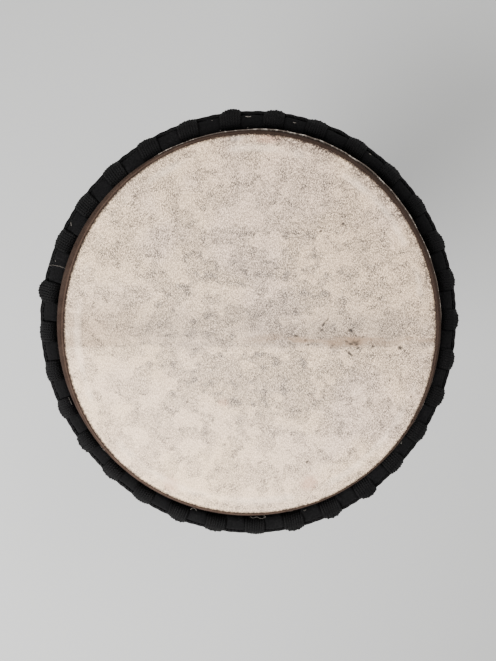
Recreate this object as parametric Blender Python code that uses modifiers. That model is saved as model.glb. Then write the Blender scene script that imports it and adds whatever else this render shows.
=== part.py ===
"""A rope-tuned goblet drum: a carved wooden shell, a skin head, three rings and the ropes that tighten it.

It stands on its foot. The origin is the centre of the foot's underside, +Z is the drum's axis,
and angles round the drum are counted from +X towards +Y. Units are metres.
"""

from math import cos, pi, radians, sin

import bmesh
import bpy

# Driving dimensions
HEIGHT = 0.600              # foot to playing surface
PLAYING_RADIUS = 0.160      # where the skin starts to bend over the edge
SHELL_RADIUS = 0.1635       # outside of the bowl, just under the head
SKIN = 0.001                # thickness of the skin
GAP = 0.0003                # between pieces that touch
TURNED_STEPS = 36           # facets round the shell, the head and the flesh ring

# Shell
FOOT_RADIUS = 0.1270
FOOT_MOUTH_RADIUS = 0.1080
WAIST_RADIUS = 0.0670
WAIST_HEIGHT = 0.270
THROAT_RADIUS = 0.0520
BOWL_WALL = 0.0140          # thickness of the wall just under the head
SHELL_TOP = HEIGHT - SKIN - GAP

# Rings: radius of the core line, height of the core line, radius of the rod
FLESH_RING = (0.1693, HEIGHT - 0.0365, 0.0035)
CROWN_RING = (0.1766, HEIGHT - 0.0220, 0.0050)
BOTTOM_RING = (0.0890, 0.3000, 0.0045)
CROWN_RING_STEPS = 44
BOTTOM_RING_STEPS = 24

# Ropes
ROPE_RADIUS = 0.0022
ROPE_ALONG_RING = ROPE_RADIUS + 0.0007      # core of a rope that lies along a ring, from the ring's surface
ROPE_ROUND_RING = ROPE_RADIUS + 0.0026      # the same where the rope's straight facets turn round the ring

# The loops round the crown ring, set out by hand: 21 close ones, then 9 wider ones, then the knot's gap
LOOPS = 31
KNOT_ANGLE = radians(169.6)
CLOSE_PITCH = radians(11.33)
CLOSE_LOOPS = 21
WIDE_PITCH = radians(11.9)

# One hitch on the crown ring: its turns of rope, taken together as one saddle
HITCH_WIDTH = 0.0190
HITCH_CREST = 0.0100        # width of the saddle's highest part
HITCH_HOLE = 0.0074         # radius of the hole that the ring passes through
HITCH_OUTER = 0.0108
HITCH_SHIFT = 0.0014        # the crossing rope makes the saddle thicker on its outer side
HITCH_STEPS = 6             # facets round the ring
UNDER_FACET = 4             # the one on the ring's underside, which the eye hangs from
RUNNING_FACET = 5           # the one on its lower outer side, where the rope runs on to the next hitch
SPAN_INSET = 0.0008         # how far the running rope stays inside the end of a hitch
KNOT_SCALE = 1.10           # the hitch that holds the rope's knot is a little bigger
KNOT_LEAN = 0.75            # how much of that goes to its outer side

# Eyes that the lacing passes through: radius and height of the end strand, half its length
CROWN_EYE = (0.1830, CROWN_RING[1] - 0.0240, 0.0055)
BOTTOM_EYE = (0.1010, BOTTOM_RING[1] + 0.0225, 0.0050)

# The turn that the lacing makes over the end strand of an eye, from the strand's core
TURN_HALF_WIDTH = 0.0070
TURN_RISE = 0.0080
TURN_DROP = 0.0010

# Where the bottom rope lies on its ring before and after each eye: angle on the ring, way along it, clearance
BEFORE_EYE = (
    (radians(-60), -0.0060, ROPE_ROUND_RING),
    (radians(-140), -0.0050, ROPE_ROUND_RING),
    (radians(142), -0.0050, ROPE_ROUND_RING),
)
AFTER_EYE = (radians(-25), 0.0055, ROPE_ALONG_RING)

# The skin, measured from the bearing edge or from the flesh ring
CUT_EDGE = HEIGHT - 0.0095  # top of the flap that stands inside the crown ring
COLLAR_TOP = HEIGHT - 0.0080
FOLD_SLACK = 1.08           # the fold stands off the ring's outer side by this share of its radius

COLOURS = {
    # name: base colour, roughness, metallic
    "carved wood": ((0.115, 0.048, 0.022, 1.0), 0.50, 0.0),
    "goat skin": ((0.640, 0.560, 0.480, 1.0), 0.60, 0.0),
    "bare steel": ((0.420, 0.410, 0.400, 1.0), 0.45, 1.0),
    "black cloth": ((0.020, 0.019, 0.021, 1.0), 0.90, 0.0),
    "black rope": ((0.016, 0.015, 0.016, 1.0), 0.70, 0.0),
}


def clear_scene():
    for existing in list(bpy.data.objects):
        bpy.data.objects.remove(existing, do_unlink=True)


def new_collection(name):
    collection = bpy.data.collections.new(name)
    bpy.context.scene.collection.children.link(collection)
    return collection


def finish(name):
    colour, roughness, metallic = COLOURS[name]
    material = bpy.data.materials.new(name)
    material.use_nodes = True
    shader = material.node_tree.nodes["Principled BSDF"]
    shader.inputs["Base Color"].default_value = colour
    shader.inputs["Roughness"].default_value = roughness
    shader.inputs["Metallic"].default_value = metallic
    return material


def link(name, data, collection, material=None):
    made = bpy.data.objects.new(name, data)
    collection.objects.link(made)
    if material:
        data.materials.append(material)
    return made


def outline_mesh(name, points, closed):
    """A chain of edges through (radius, height) points, in the XZ plane."""
    mesh = bpy.data.meshes.new(name)
    build = bmesh.new()
    corners = [build.verts.new((radius, 0, height)) for radius, height in points]
    for first, second in zip(corners, corners[1:]):
        build.edges.new((first, second))
    if closed:
        build.edges.new((corners[-1], corners[0]))
    build.to_mesh(mesh)
    build.free()
    return mesh


def turn(made, steps):
    """Sweeps an outline right round its own Z axis."""
    screw = made.modifiers.new("turned", "SCREW")
    screw.steps = steps
    screw.render_steps = steps
    screw.use_merge_vertices = True
    screw.merge_threshold = 0.00001
    return made


def turned(name, points, collection, material, steps=TURNED_STEPS, closed=True):
    return turn(link(name, outline_mesh(name, points, closed), collection, material), steps)


def hoop(name, ring, steps, rod_steps, collection, material):
    radius, height, rod = ring
    bpy.ops.mesh.primitive_torus_add(
        major_radius=radius, minor_radius=rod, major_segments=steps, minor_segments=rod_steps,
        location=(0, 0, height),
    )
    made = bpy.context.object
    made.name = name
    made.data.materials.append(material)
    made.data.shade_smooth()
    for owner in list(made.users_collection):
        owner.objects.unlink(made)
    collection.objects.link(made)
    return made


def around(angle, radius, height, sideways=0.0):
    """The point at this angle round the drum, moved sideways along the tangent."""
    return (
        radius * cos(angle) - sideways * sin(angle),
        radius * sin(angle) + sideways * cos(angle),
        height,
    )


def beside_ring(ring, angle, turn_angle, sideways, clearance):
    """A point of a rope that lies on a ring: turn_angle is 0 on its outer side and 90 degrees on top."""
    distance = ring[2] + clearance
    radius = ring[0] + distance * cos(turn_angle)
    return around(angle, radius, ring[1] + distance * sin(turn_angle), sideways)


def loop_angles():
    """Where the loops sit round the crown ring, starting at the knot."""
    angles = [KNOT_ANGLE]
    for place in range(1, LOOPS):
        angles.append(angles[-1] + (CLOSE_PITCH if place <= CLOSE_LOOPS else WIDE_PITCH))
    return angles


def halfway_angles():
    """Where the bottom loops sit: halfway between the crown loops."""
    angles = loop_angles()
    following = angles[1:] + [angles[0] + 2 * pi]
    return [(here + there) / 2 for here, there in zip(angles, following)]


def closed_rope(name, points, collection, material):
    """A rope whose ends meet, through these points."""
    curve = bpy.data.curves.new(name, "CURVE")
    curve.dimensions = "3D"
    curve.bevel_depth = ROPE_RADIUS
    curve.bevel_resolution = 0
    spline = curve.splines.new("POLY")
    spline.points.add(len(points) - 1)
    for knot, place in zip(spline.points, points):
        knot.co = (*place, 1)
    spline.use_cyclic_u = True
    return link(name, curve, collection, material)


def shell(parts):
    """The carved goblet: down the outside from the bearing edge, across the foot and up the inside."""
    inner_top = SHELL_RADIUS - BOWL_WALL
    outside = [
        (PLAYING_RADIUS - 0.0030, SHELL_TOP),
        (SHELL_RADIUS - 0.0020, SHELL_TOP - 0.0020),
        (SHELL_RADIUS, SHELL_TOP - 0.0080),
        (SHELL_RADIUS, 0.545),
        (0.1580, 0.513),
        (0.1465, 0.478),
        (0.1185, 0.400),
        (0.0945, 0.335),
        (0.0725, 0.296),
        (WAIST_RADIUS, WAIST_HEIGHT),
        (0.0700, 0.235),
        (0.0790, 0.175),
        (0.0960, 0.105),
        (FOOT_RADIUS - 0.0070, 0.040),
        (FOOT_RADIUS, 0.0080),
        (FOOT_RADIUS - 0.0020, 0.0),
    ]
    inside = [
        (FOOT_MOUTH_RADIUS, 0.0),
        (0.0820, 0.095),
        (0.0590, 0.190),
        (THROAT_RADIUS, WAIST_HEIGHT),
        (0.0600, 0.310),
        (0.1030, 0.405),
        (0.1340, 0.490),
        (inner_top, 0.570),
        (inner_top + 0.0030, SHELL_TOP - 0.0080),
    ]
    turned("shell", outside + inside, parts, finish("carved wood"))


def drum_head(parts):
    """One skin: over the bearing edge, down the collar, round the flesh ring and up to its cut edge."""
    collar = SHELL_RADIUS + GAP
    flap = collar + SKIN + GAP
    ring_radius, ring_height, rod = FLESH_RING
    within = rod + 2 * GAP
    without = within + SKIN
    upper_face = [
        (0, HEIGHT),
        (PLAYING_RADIUS - 0.0020, HEIGHT),
        (collar - 0.0012, HEIGHT - 0.0018),
        (collar + SKIN, COLLAR_TOP),
        (collar + SKIN, ring_height - within / 2),
        (ring_radius - within / 2, ring_height - within),
        (ring_radius + within / 2, ring_height - within),
        (ring_radius + within * FOLD_SLACK, ring_height),
        (ring_radius, ring_height + within * FOLD_SLACK),
        (flap, ring_height + within * FOLD_SLACK),
        (flap, CUT_EDGE),
    ]
    lower_face = [
        (flap + SKIN, CUT_EDGE),
        (flap + SKIN, ring_height + without * FOLD_SLACK),
        (ring_radius + SKIN / 2, ring_height + without * FOLD_SLACK),
        (ring_radius + without * FOLD_SLACK, ring_height),
        (ring_radius + without / 2, ring_height - without),
        (ring_radius - without / 2, ring_height - without),
        (collar, ring_height - without / 2),
        (collar, COLLAR_TOP),
        (collar - 0.0022, HEIGHT - SKIN - 0.0014),
        (PLAYING_RADIUS - 0.0026, HEIGHT - SKIN),
        (0, HEIGHT - SKIN),
    ]
    turned("drum_head", upper_face + lower_face, parts, finish("goat skin"), closed=False)


def rings(parts):
    cloth = finish("black cloth")
    hoop("flesh_ring", FLESH_RING, TURNED_STEPS, 5, parts, finish("bare steel"))
    hoop("crown_ring", CROWN_RING, CROWN_RING_STEPS, 6, parts, cloth)
    hoop("bottom_ring", BOTTOM_RING, BOTTOM_RING_STEPS, 6, parts, cloth)


def saddle(build, angle, scale):
    """The band that one hitch makes round the crown ring, as one row of corners for each facet."""
    half, crest = HITCH_WIDTH / 2, HITCH_CREST / 2
    hole, outer = HITCH_HOLE * scale, HITCH_OUTER * scale
    centre = CROWN_RING[0] + HITCH_SHIFT + KNOT_LEAN * (outer - HITCH_OUTER)
    columns = ((-half, hole), (-crest, outer), (crest, outer), (half, hole))
    rows = []
    for step in range(HITCH_STEPS):
        turn_angle = 2 * pi * step / HITCH_STEPS
        row = []
        for sideways, distance in columns:
            radius = centre + distance * cos(turn_angle)
            height = CROWN_RING[1] + distance * sin(turn_angle)
            row.append(build.verts.new(around(angle, radius, height, sideways)))
        rows.append(row)
    return rows


def join_loops(build, first, second):
    """Four walls between two square loops of corners."""
    for corner in range(4):
        after = (corner + 1) % 4
        build.faces.new((first[corner], first[after], second[after], second[corner]))


def eye_corners(build, angle, side):
    """The mitred end of an eye's bottom strand: its inner upper edge and its outer lower edge."""
    eye_radius, eye_height, eye_half = CROWN_EYE
    corners = []
    for radius, reach in ((-1, -1), (-1, 1), (1, 1), (1, -1)):
        corners.append(build.verts.new(around(
            angle, eye_radius + radius * ROPE_RADIUS, eye_height - reach * ROPE_RADIUS,
            side * (eye_half + reach * ROPE_RADIUS),
        )))
    return corners


def hitch(build, angle, scale):
    """One hitch with its eye. Returns the faces at its left and right end where the rope runs on."""
    rows = saddle(build, angle, scale)
    low, high = rows[UNDER_FACET], rows[UNDER_FACET + 1]
    feet = []
    for row in (low, high):
        feet.append([build.verts.new(row[1].co.lerp(row[2].co, share)) for share in (1 / 3, 2 / 3)])
    (low_left, low_right), (high_left, high_right) = feet
    ends = []
    for facet in range(HITCH_STEPS):
        here, there = rows[facet], rows[(facet + 1) % HITCH_STEPS]
        crest = [here[1], here[2], there[2], there[1]]
        if facet == UNDER_FACET - 1:
            crest[3:3] = [low_right, low_left]
        elif facet == UNDER_FACET:
            crest = [low_left, low_right, high_right, high_left]
        elif facet == UNDER_FACET + 1:
            crest[1:1] = [high_left, high_right]
        build.faces.new(crest)
        build.faces.new((here[3], here[0], there[0], there[3]))
        left = build.faces.new((here[0], there[0], there[1], here[1]))
        right = build.faces.new((here[3], there[3], there[2], here[2]))
        if facet == RUNNING_FACET:
            ends = [left, right]
    left_corners, right_corners = eye_corners(build, angle, -1), eye_corners(build, angle, 1)
    join_loops(build, (low_left, low[1], high[1], high_left), left_corners)
    join_loops(build, (low_right, low[2], high[2], high_right), right_corners)
    join_loops(build, left_corners, right_corners)
    return ends


def crown_loops(parts, rope_finish):
    """The rope of the crown ring: its hitches, the eye below each, and the rope that runs between them."""
    build = bmesh.new()
    ends = []
    for place, angle in enumerate(loop_angles()):
        ends.append(hitch(build, angle, KNOT_SCALE if place == 0 else 1.0))
    faces = [face for pair in ends for face in pair]
    bmesh.ops.inset_individual(build, faces=faces, thickness=SPAN_INSET, use_even_offset=True)
    for place, (_, leaving) in enumerate(ends):
        arriving = ends[(place + 1) % LOOPS][0]
        join_loops(build, list(leaving.verts), list(arriving.verts))
    bmesh.ops.delete(build, geom=faces, context="FACES_ONLY")
    bmesh.ops.recalc_face_normals(build, faces=build.faces)
    mesh = bpy.data.meshes.new("crown_loops")
    build.to_mesh(mesh)
    build.free()
    link("crown_loops", mesh, parts, rope_finish)


def bottom_loops(parts, rope_finish):
    """A rope wound once round the bottom ring for each eye, which it leaves on the upper side."""
    eye_radius, eye_height, eye_half = BOTTOM_EYE
    path = []
    for angle in halfway_angles():
        path += [beside_ring(BOTTOM_RING, angle, *place) for place in BEFORE_EYE]
        path += [around(angle, eye_radius, eye_height, side * eye_half) for side in (-1, 1)]
        path.append(beside_ring(BOTTOM_RING, angle, *AFTER_EYE))
    closed_rope("bottom_loops", path, parts, rope_finish)


def lacing(parts, rope_finish):
    """The long rope: over the end strand of an upper eye, down, under that of a lower eye, and up again."""
    crown_radius, crown_height, _ = CROWN_EYE
    bottom_radius, bottom_height, _ = BOTTOM_EYE
    turn_over = ((TURN_HALF_WIDTH, -TURN_DROP), (0, TURN_RISE), (-TURN_HALF_WIDTH, -TURN_DROP))
    path = []
    for upper, lower in zip(loop_angles(), halfway_angles()):
        path += [around(upper, crown_radius + out, crown_height + up) for out, up in turn_over]
        path += [around(lower, bottom_radius - out, bottom_height - up) for out, up in turn_over]
    closed_rope("lacing_rope", path, parts, rope_finish)


clear_scene()
drum = new_collection("goblet_drum")
black_rope = finish("black rope")
shell(drum)
drum_head(drum)
rings(drum)
crown_loops(drum, black_rope)
bottom_loops(drum, black_rope)
lacing(drum, black_rope)
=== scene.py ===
# %% [markdown]
# # A rope-tuned goblet drum
# The drum is a wooden goblet with a skin stretched over its mouth. A ring wrapped in black cloth presses
# the skin down, and one long rope pulls that ring towards a second ring at the waist. This script dresses
# the solids of the drum with fine meshes and procedural finishes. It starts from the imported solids, so
# every piece is already in place.

# %% Load the solids
from math import atan2, cos, pi, radians, sin, tan

import bmesh
import bpy
import numpy as np
from mathutils import Matrix, Vector


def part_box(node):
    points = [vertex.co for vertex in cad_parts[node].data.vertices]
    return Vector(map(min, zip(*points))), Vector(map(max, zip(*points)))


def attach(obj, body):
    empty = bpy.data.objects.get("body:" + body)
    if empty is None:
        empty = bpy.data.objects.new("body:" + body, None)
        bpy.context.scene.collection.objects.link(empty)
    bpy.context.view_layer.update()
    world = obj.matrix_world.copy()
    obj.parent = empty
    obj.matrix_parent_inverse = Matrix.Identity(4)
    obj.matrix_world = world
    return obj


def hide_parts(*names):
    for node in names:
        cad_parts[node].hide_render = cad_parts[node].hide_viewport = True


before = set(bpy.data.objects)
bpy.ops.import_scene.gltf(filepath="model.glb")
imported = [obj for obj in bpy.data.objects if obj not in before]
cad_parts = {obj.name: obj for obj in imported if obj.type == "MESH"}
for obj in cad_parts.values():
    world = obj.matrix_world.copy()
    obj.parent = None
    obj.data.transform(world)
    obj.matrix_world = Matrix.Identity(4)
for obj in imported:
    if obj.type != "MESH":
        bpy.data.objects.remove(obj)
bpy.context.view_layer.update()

print("solids:", sorted(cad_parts))

# %% [markdown]
# ## Sizes
# Everything is measured in metres from the centre of the foot's underside, with +Z up the drum's axis. The
# main sizes are read off the solids, so the fine meshes stay in step with them. A ring's solid has six
# sides, so its height is the rod's width across the flats.

# %% Sizes read off the solids
def lowest(node):
    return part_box(node)[0]


def highest(node):
    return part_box(node)[1]


ACROSS_FLATS = cos(pi / 6)


def ring_size(node):
    """Radius and height of the core line, and radius of the rod, for a ring with a six-sided rod."""
    low, high = lowest(node), highest(node)
    rod = (high[2] - low[2]) / 2 / ACROSS_FLATS
    return (high[0] - low[0]) / 2 - rod, (high[2] + low[2]) / 2, rod


HEIGHT = highest("drum_head")[2]
SHELL_RADIUS = highest("shell")[0]
SHELL_TOP = highest("shell")[2]
CROWN = ring_size("crown_ring")
BOTTOM = ring_size("bottom_ring")
SKIN = 0.0010
ROPE = 0.0022
print("height", round(HEIGHT, 4), "crown ring", [round(v, 4) for v in CROWN])

# %% [markdown]
# ## The camera
# The picture looks straight at the head from arm's length, from a little above it and a little to its left.
# The lens is known in pixels of the frame. The camera's place follows from the two angles and from the
# scale of the head in the frame, and a small turn puts the head where it belongs in the frame.

# %% Camera
FRAME_WIDTH, FRAME_HEIGHT = 496, 661
LONG_SIDE_MM = 36.0
LENS_PX = 500.0
HEAD_PX = (249.3, 329.1)        # where the centre of the head falls in the frame
METRES_PER_PX = 0.0008465       # on the head
SEEN_FROM_LEFT = radians(0.4)
SEEN_FROM_ABOVE = radians(3.7)

head_centre = Vector((0, 0, HEIGHT))
camera_distance = LENS_PX * METRES_PER_PX
from_head = Vector((-tan(SEEN_FROM_LEFT), tan(SEEN_FROM_ABOVE), 1)).normalized()
camera_place = head_centre + from_head * camera_distance


def facing(back, up):
    """The rotation of a camera whose local Z is back and whose local Y is as near to up as it can be."""
    right = up.cross(back).normalized()
    return Matrix((right, back.cross(right), back)).transposed()


rough_turn = facing(from_head, Vector((0, 1, 0)))
off_centre = Vector((HEAD_PX[0] - FRAME_WIDTH / 2, FRAME_HEIGHT / 2 - HEAD_PX[1], 0)) * METRES_PER_PX
aim = head_centre - rough_turn @ off_centre
camera_turn = facing((camera_place - aim).normalized(), Vector((0, 1, 0)))
camera_data = bpy.data.cameras.new("camera")
camera_data.lens = LENS_PX * LONG_SIDE_MM / FRAME_HEIGHT
camera_data.sensor_width = LONG_SIDE_MM
camera_data.clip_start = 0.02
camera = bpy.data.objects.new("camera", camera_data)
camera.matrix_world = Matrix.Translation(camera_place) @ camera_turn.to_4x4()
bpy.context.scene.collection.objects.link(camera)
bpy.context.scene.camera = camera
print("camera at", [round(v, 3) for v in camera_place], "lens", round(camera_data.lens, 1))


def on_head(x_px, y_px, height=HEIGHT):
    """The point at this height, or on the head, that falls on this pixel of the photograph's frame."""
    ray = camera_turn @ Vector((x_px - FRAME_WIDTH / 2, FRAME_HEIGHT / 2 - y_px, -LENS_PX))
    return camera_place + ray * ((height - camera_place.z) / ray.z)


# %% [markdown]
# ## Meshes from grids of points
# A turned shell, a ring and a rope are all grids: rows along a line and columns round it. One helper makes
# the faces of such a grid. Arrays hold all the points at once, which is far quicker than one face at a
# time.

# %% Grid meshes
def grid_faces(rows, columns, close_rows=False):
    """Four-sided faces of a grid that closes round its columns, and round its rows if asked."""
    row = np.arange(rows if close_rows else rows - 1)[:, None]
    column = np.arange(columns)[None, :]
    after_row = (row + 1) % rows
    after_column = (column + 1) % columns
    corners = [row * columns + column, row * columns + after_column]
    corners += [after_row * columns + after_column, after_row * columns + column]
    return np.stack(np.broadcast_arrays(*corners), axis=-1).reshape(-1, 4)


def piece(name, points, faces, material, attributes=None, weld=False):
    """A named mesh that rides on the drum. attributes hold values that the material reads at each point."""
    mesh = bpy.data.meshes.new(name)
    mesh.from_pydata(np.asarray(points).tolist(), [], [list(map(int, face)) for face in faces])
    for attribute, values in (attributes or {}).items():
        values = np.asarray(values, dtype=np.float32)
        kind, field = ("FLOAT", "value") if values.ndim == 1 else ("FLOAT_VECTOR", "vector")
        mesh.attributes.new(attribute, kind, "POINT").data.foreach_set(field, values.ravel())
    if weld:
        build = bmesh.new()
        build.from_mesh(mesh)
        bmesh.ops.remove_doubles(build, verts=build.verts, dist=0.000001)
        build.to_mesh(mesh)
        build.free()
    mesh.shade_smooth()
    mesh.materials.append(material)
    made = bpy.data.objects.new(name, mesh)
    bpy.context.scene.collection.objects.link(made)
    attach(made, "root")
    print(name, len(mesh.polygons), "faces")
    return made


print("a grid of 4 rows and 3 columns has", len(grid_faces(4, 3)), "faces")

# %% [markdown]
# ## Lines
# A profile or a rope's route is given by a few points that matter. A smooth curve passes through all of
# them, and it is then cut into equal steps, so that a rope's strands keep their length round every bend.

# %% Smooth lines
def smooth(points, closed=False, steps=12):
    """A smooth curve through these points, with this many steps between two of them."""
    points = np.asarray(points, dtype=float)
    if closed:
        padded = np.concatenate([points[-1:], points, points[:2]])
    else:
        padded = np.concatenate([2 * points[:1] - points[1:2], points, 2 * points[-1:] - points[-2:-1]])
    share = np.linspace(0, 1, steps, endpoint=False)[:, None]
    line = []
    for before, start, end, after in zip(padded, padded[1:], padded[2:], padded[3:]):
        line.append(0.5 * (
            2 * start + (end - before) * share
            + (2 * before - 5 * start + 4 * end - after) * share ** 2
            + (3 * start - before - 3 * end + after) * share ** 3
        ))
    if not closed:
        line.append(points[-1:])
    return np.concatenate(line)


def even_steps(line, step, closed=False):
    """The same line with its points a step apart, and the length along it at each point."""
    if closed:
        line = np.concatenate([line, line[:1]])
    along = np.concatenate([[0], np.cumsum(np.linalg.norm(np.diff(line, axis=0), axis=1))])
    count = max(int(round(along[-1] / step)), 3)
    places = np.linspace(0, along[-1], count + 1)
    if closed:
        places = places[:-1]
    return np.stack([np.interp(places, along, line[:, axis]) for axis in range(3)], axis=1), places


print("a bend of 3 points becomes a line of", len(smooth([(0, 0, 0), (1, 0, 0), (1, 1, 0)])), "points")

# %% [markdown]
# ## Places round the drum
# A point on the drum is easiest to give by its angle round the axis, its radius and its height. A point on a
# ring's wrapping is given by its turn round the ring's core line and its distance from that line.

# %% Places round the drum
def around(angle, radius, height, sideways=0.0):
    """The point at this angle round the drum, moved sideways along the tangent."""
    return (
        radius * cos(angle) - sideways * sin(angle),
        radius * sin(angle) + sideways * cos(angle),
        height,
    )


def beside(ring, angle, turn, distance, sideways=0.0):
    """A point near a ring's core line: turn is 0 on the ring's outer side and 90 degrees on top."""
    return around(angle, ring[0] + distance * cos(turn), ring[1] + distance * sin(turn), sideways)


print("top of the crown ring at the right:", [round(v, 4) for v in beside(CROWN, 0, pi / 2, CROWN[2])])

# %% [markdown]
# ## Node tools
# A finish is a small graph of nodes. A few helpers keep each graph short enough to read like a sum: `add`
# makes a node of any kind, `calc` a math node, and `plus`, `times` and `fade` are the ones used most. Each
# helper finds the graph by the sockets that it is given.

# %% Node tools
def add(tree, kind, inputs=None, **settings):
    """A new node. A number is set on its input, and a socket is linked to it."""
    made = tree.nodes.new(kind)
    for name, value in settings.items():
        setattr(made, name, value)
    for name, value in (inputs or {}).items():
        if isinstance(value, bpy.types.NodeSocket):
            tree.links.new(value, made.inputs[name])
        else:
            made.inputs[name].default_value = value
    return made


def join(source, target):
    source.id_data.links.new(source, target)


def calc(operation, *values, clamp=False):
    """A math node in the graph of the first socket among the values."""
    tree = next(value.id_data for value in values if isinstance(value, bpy.types.NodeSocket))
    made = add(tree, "ShaderNodeMath", dict(enumerate(values)), operation=operation, use_clamp=clamp)
    return made.outputs[0]


def plus(first, second):
    return calc("ADD", first, second)


def minus(first, second):
    return calc("SUBTRACT", first, second)


def times(first, *others):
    for other in others:
        first = calc("MULTIPLY", first, other)
    return first


def scaled(value, factor, offset, clamp=False):
    return calc("MULTIPLY_ADD", value, factor, offset, clamp=clamp)


def fade(value, start, end):
    """0 up to start, 1 from end on, and a smooth step between them."""
    ends = {"Value": value, "From Min": start, "From Max": end}
    return add(value.id_data, "ShaderNodeMapRange", ends, interpolation_type="SMOOTHSTEP").outputs[0]


def fade_out(value, start, end):
    """1 up to start, 0 from end on, and a smooth step between them."""
    return minus(1.0, fade(value, start, end))


print("node tools ready")

# %% [markdown]
# ## Places, noise and colours
# Most of what makes a surface look real is uneven: noise in several sizes, stretched where the material has
# a direction. A colour is then a blend of two others by such a mask.

# %% Places, noise and colours
def xyz(place):
    """The three numbers of a place."""
    return add(place.id_data, "ShaderNodeSeparateXYZ", {0: place}).outputs


def at_point(tree, attribute, kind="Fac"):
    """A value that the mesh carries at its points."""
    return add(tree, "ShaderNodeAttribute", attribute_name=attribute).outputs[kind]


def stretched(place, x, y, z):
    """The place with its three numbers multiplied, which makes a pattern shorter in each direction."""
    made = add(place.id_data, "ShaderNodeVectorMath", {0: place, 1: (x, y, z)}, operation="MULTIPLY")
    return made.outputs[0]


def noise(place, scale, detail=3.0, roughness=0.5):
    inputs = {"Vector": place, "Scale": scale, "Detail": detail, "Roughness": roughness}
    return add(place.id_data, "ShaderNodeTexNoise", inputs).outputs["Fac"]


def blend_colours(share, first, second):
    """The first colour where share is 0, and the second where it is 1."""
    ends = [end if isinstance(end, bpy.types.NodeSocket) else (*end, 1.0) for end in (first, second)]
    inputs = {"Factor": share, 6: ends[0], 7: ends[1]}      # a mix node's colours are its inputs 6 and 7
    return add(share.id_data, "ShaderNodeMix", inputs, data_type="RGBA").outputs[2]


print("colour tools ready")

# %% [markdown]
# ## Groups and finishes
# An effect that several finishes share is a node group with named inputs and outputs. A finish is one
# material: its shader stands in the material itself, and the groups only feed it.

# %% Groups and finishes
def new_group(name, inputs, outputs):
    """An empty node group with named number inputs (Vector where the default is None) and number outputs."""
    group = bpy.data.node_groups.new(name, "ShaderNodeTree")
    for title, default in inputs.items():
        kind = "NodeSocketVector" if default is None else "NodeSocketFloat"
        socket = group.interface.new_socket(name=title, in_out="INPUT", socket_type=kind)
        if default is not None:
            socket.default_value = default
    for title in outputs:
        group.interface.new_socket(name=title, in_out="OUTPUT", socket_type="NodeSocketFloat")
    given = group.nodes.new("NodeGroupInput")
    result = group.nodes.new("NodeGroupOutput")
    return group, given.outputs, result.inputs


def use(tree, group, inputs):
    """The outputs of a group that is placed in a finish with these values."""
    return add(tree, "ShaderNodeGroup", inputs, node_tree=group).outputs


def new_finish(name, roughness=0.6, metallic=0.0):
    """A material, its graph, its shader and the object's own coordinates in metres."""
    material = bpy.data.materials.new(name)
    material.use_nodes = True
    tree = material.node_tree
    shader = tree.nodes["Principled BSDF"]
    shader.inputs["Roughness"].default_value = roughness
    shader.inputs["Metallic"].default_value = metallic
    place = tree.nodes.new("ShaderNodeTexCoord").outputs["Object"]
    return material, tree, shader, place


def relief(shader, height, depth):
    """Joins a height, from 0 to 1, to the shader's normal. depth is in metres."""
    bump = add(shader.id_data, "ShaderNodeBump", {"Height": height, "Distance": depth})
    join(bump.outputs["Normal"], shader.inputs["Normal"])


print("group and finish tools ready")

# %% [markdown]
# ## Dust
# Everything on the drum has been handled and stored, so each finish carries a little pale dust in soft
# patches. One node group makes that mask, and each material gives it its own scale and amount.

# %% Dust group
dust_group, dust_in, dust_out = new_group("dust", {"Place": None, "Scale": 60.0, "Amount": 0.3}, ["Mask"])
patches = noise(dust_in["Place"], dust_in["Scale"], 4.0, 0.6)
specks = noise(dust_in["Place"], times(dust_in["Scale"], 14.0), 2.0, 0.7)
dusty = times(fade(patches, 0.42, 0.70), fade(specks, 0.45, 0.75))
join(times(dusty, dust_in["Amount"]), dust_out["Mask"])
print("dust group made")

# %% [markdown]
# ## Black braided rope
# The rope is a braid: strands run both ways round it and pass over and under each other. The rope meshes
# carry an attribute with the direction round the rope and the length along it, so the braid follows every
# bend. In each cell of the braid, one of the two strands is on top, and which one changes from cell to cell
# as on a chessboard.

# %% Braid group
STRANDS = 6.0
STRAND_PICK = 0.0034
braid_group, braid_in, braid_out = new_group("braid", {"Strands": STRANDS, "Pick": STRAND_PICK}, ["Height"])
strand_parts = xyz(at_point(braid_group, "strand", "Vector"))
turn_share = calc("DIVIDE", calc("ARCTAN2", strand_parts[1], strand_parts[0]), 2 * pi)
round_count = times(turn_share, braid_in["Strands"])
pick_count = calc("DIVIDE", strand_parts[2], braid_in["Pick"])
rising = plus(round_count, pick_count)
falling = minus(round_count, pick_count)
whole_cells = plus(calc("FLOOR", rising), calc("FLOOR", falling))
which = calc("GREATER_THAN", calc("FLOORED_MODULO", whole_cells, 2.0), 0.5)


def crown_of(count):
    """The round back of a strand: 0 at its sides and 1 along its middle."""
    share = calc("FRACT", count)
    return calc("SINE", times(share, pi))


upper_strand = times(crown_of(falling), minus(1.0, which))
braid_height = scaled(crown_of(rising), which, upper_strand)
join(braid_height, braid_out["Height"])
print("a strand crosses another every", STRAND_PICK, "m")

# %% [markdown]
# ## The rope's finish
# The rope is dyed black and has taken up dust. The backs of its strands are rubbed a little shinier than the
# gaps between them, and their colour carries painted highlight on the backs and painted shade in the gaps.

# %% Rope finish
rope_finish, tree, shader, place = new_finish("black braided rope")
braid = use(tree, braid_group, {"Strands": STRANDS, "Pick": STRAND_PICK})
dust = use(tree, dust_group, {"Place": place, "Scale": 90.0, "Amount": 0.35})["Mask"]
# painted highlight on the backs of the strands, painted shade in the gaps between them
shade = blend_colours(braid["Height"], (0.0005, 0.0005, 0.0006), (0.0026, 0.0024, 0.0025))
shade = blend_colours(dust, shade, (0.022, 0.020, 0.019))
join(shade, shader.inputs["Base Color"])
join(scaled(braid["Height"], -0.15, 0.78), shader.inputs["Roughness"])
shader.inputs["Specular IOR Level"].default_value = 0.07
relief(shader, braid["Height"], 0.00045)
print("rope finish made")

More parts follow.
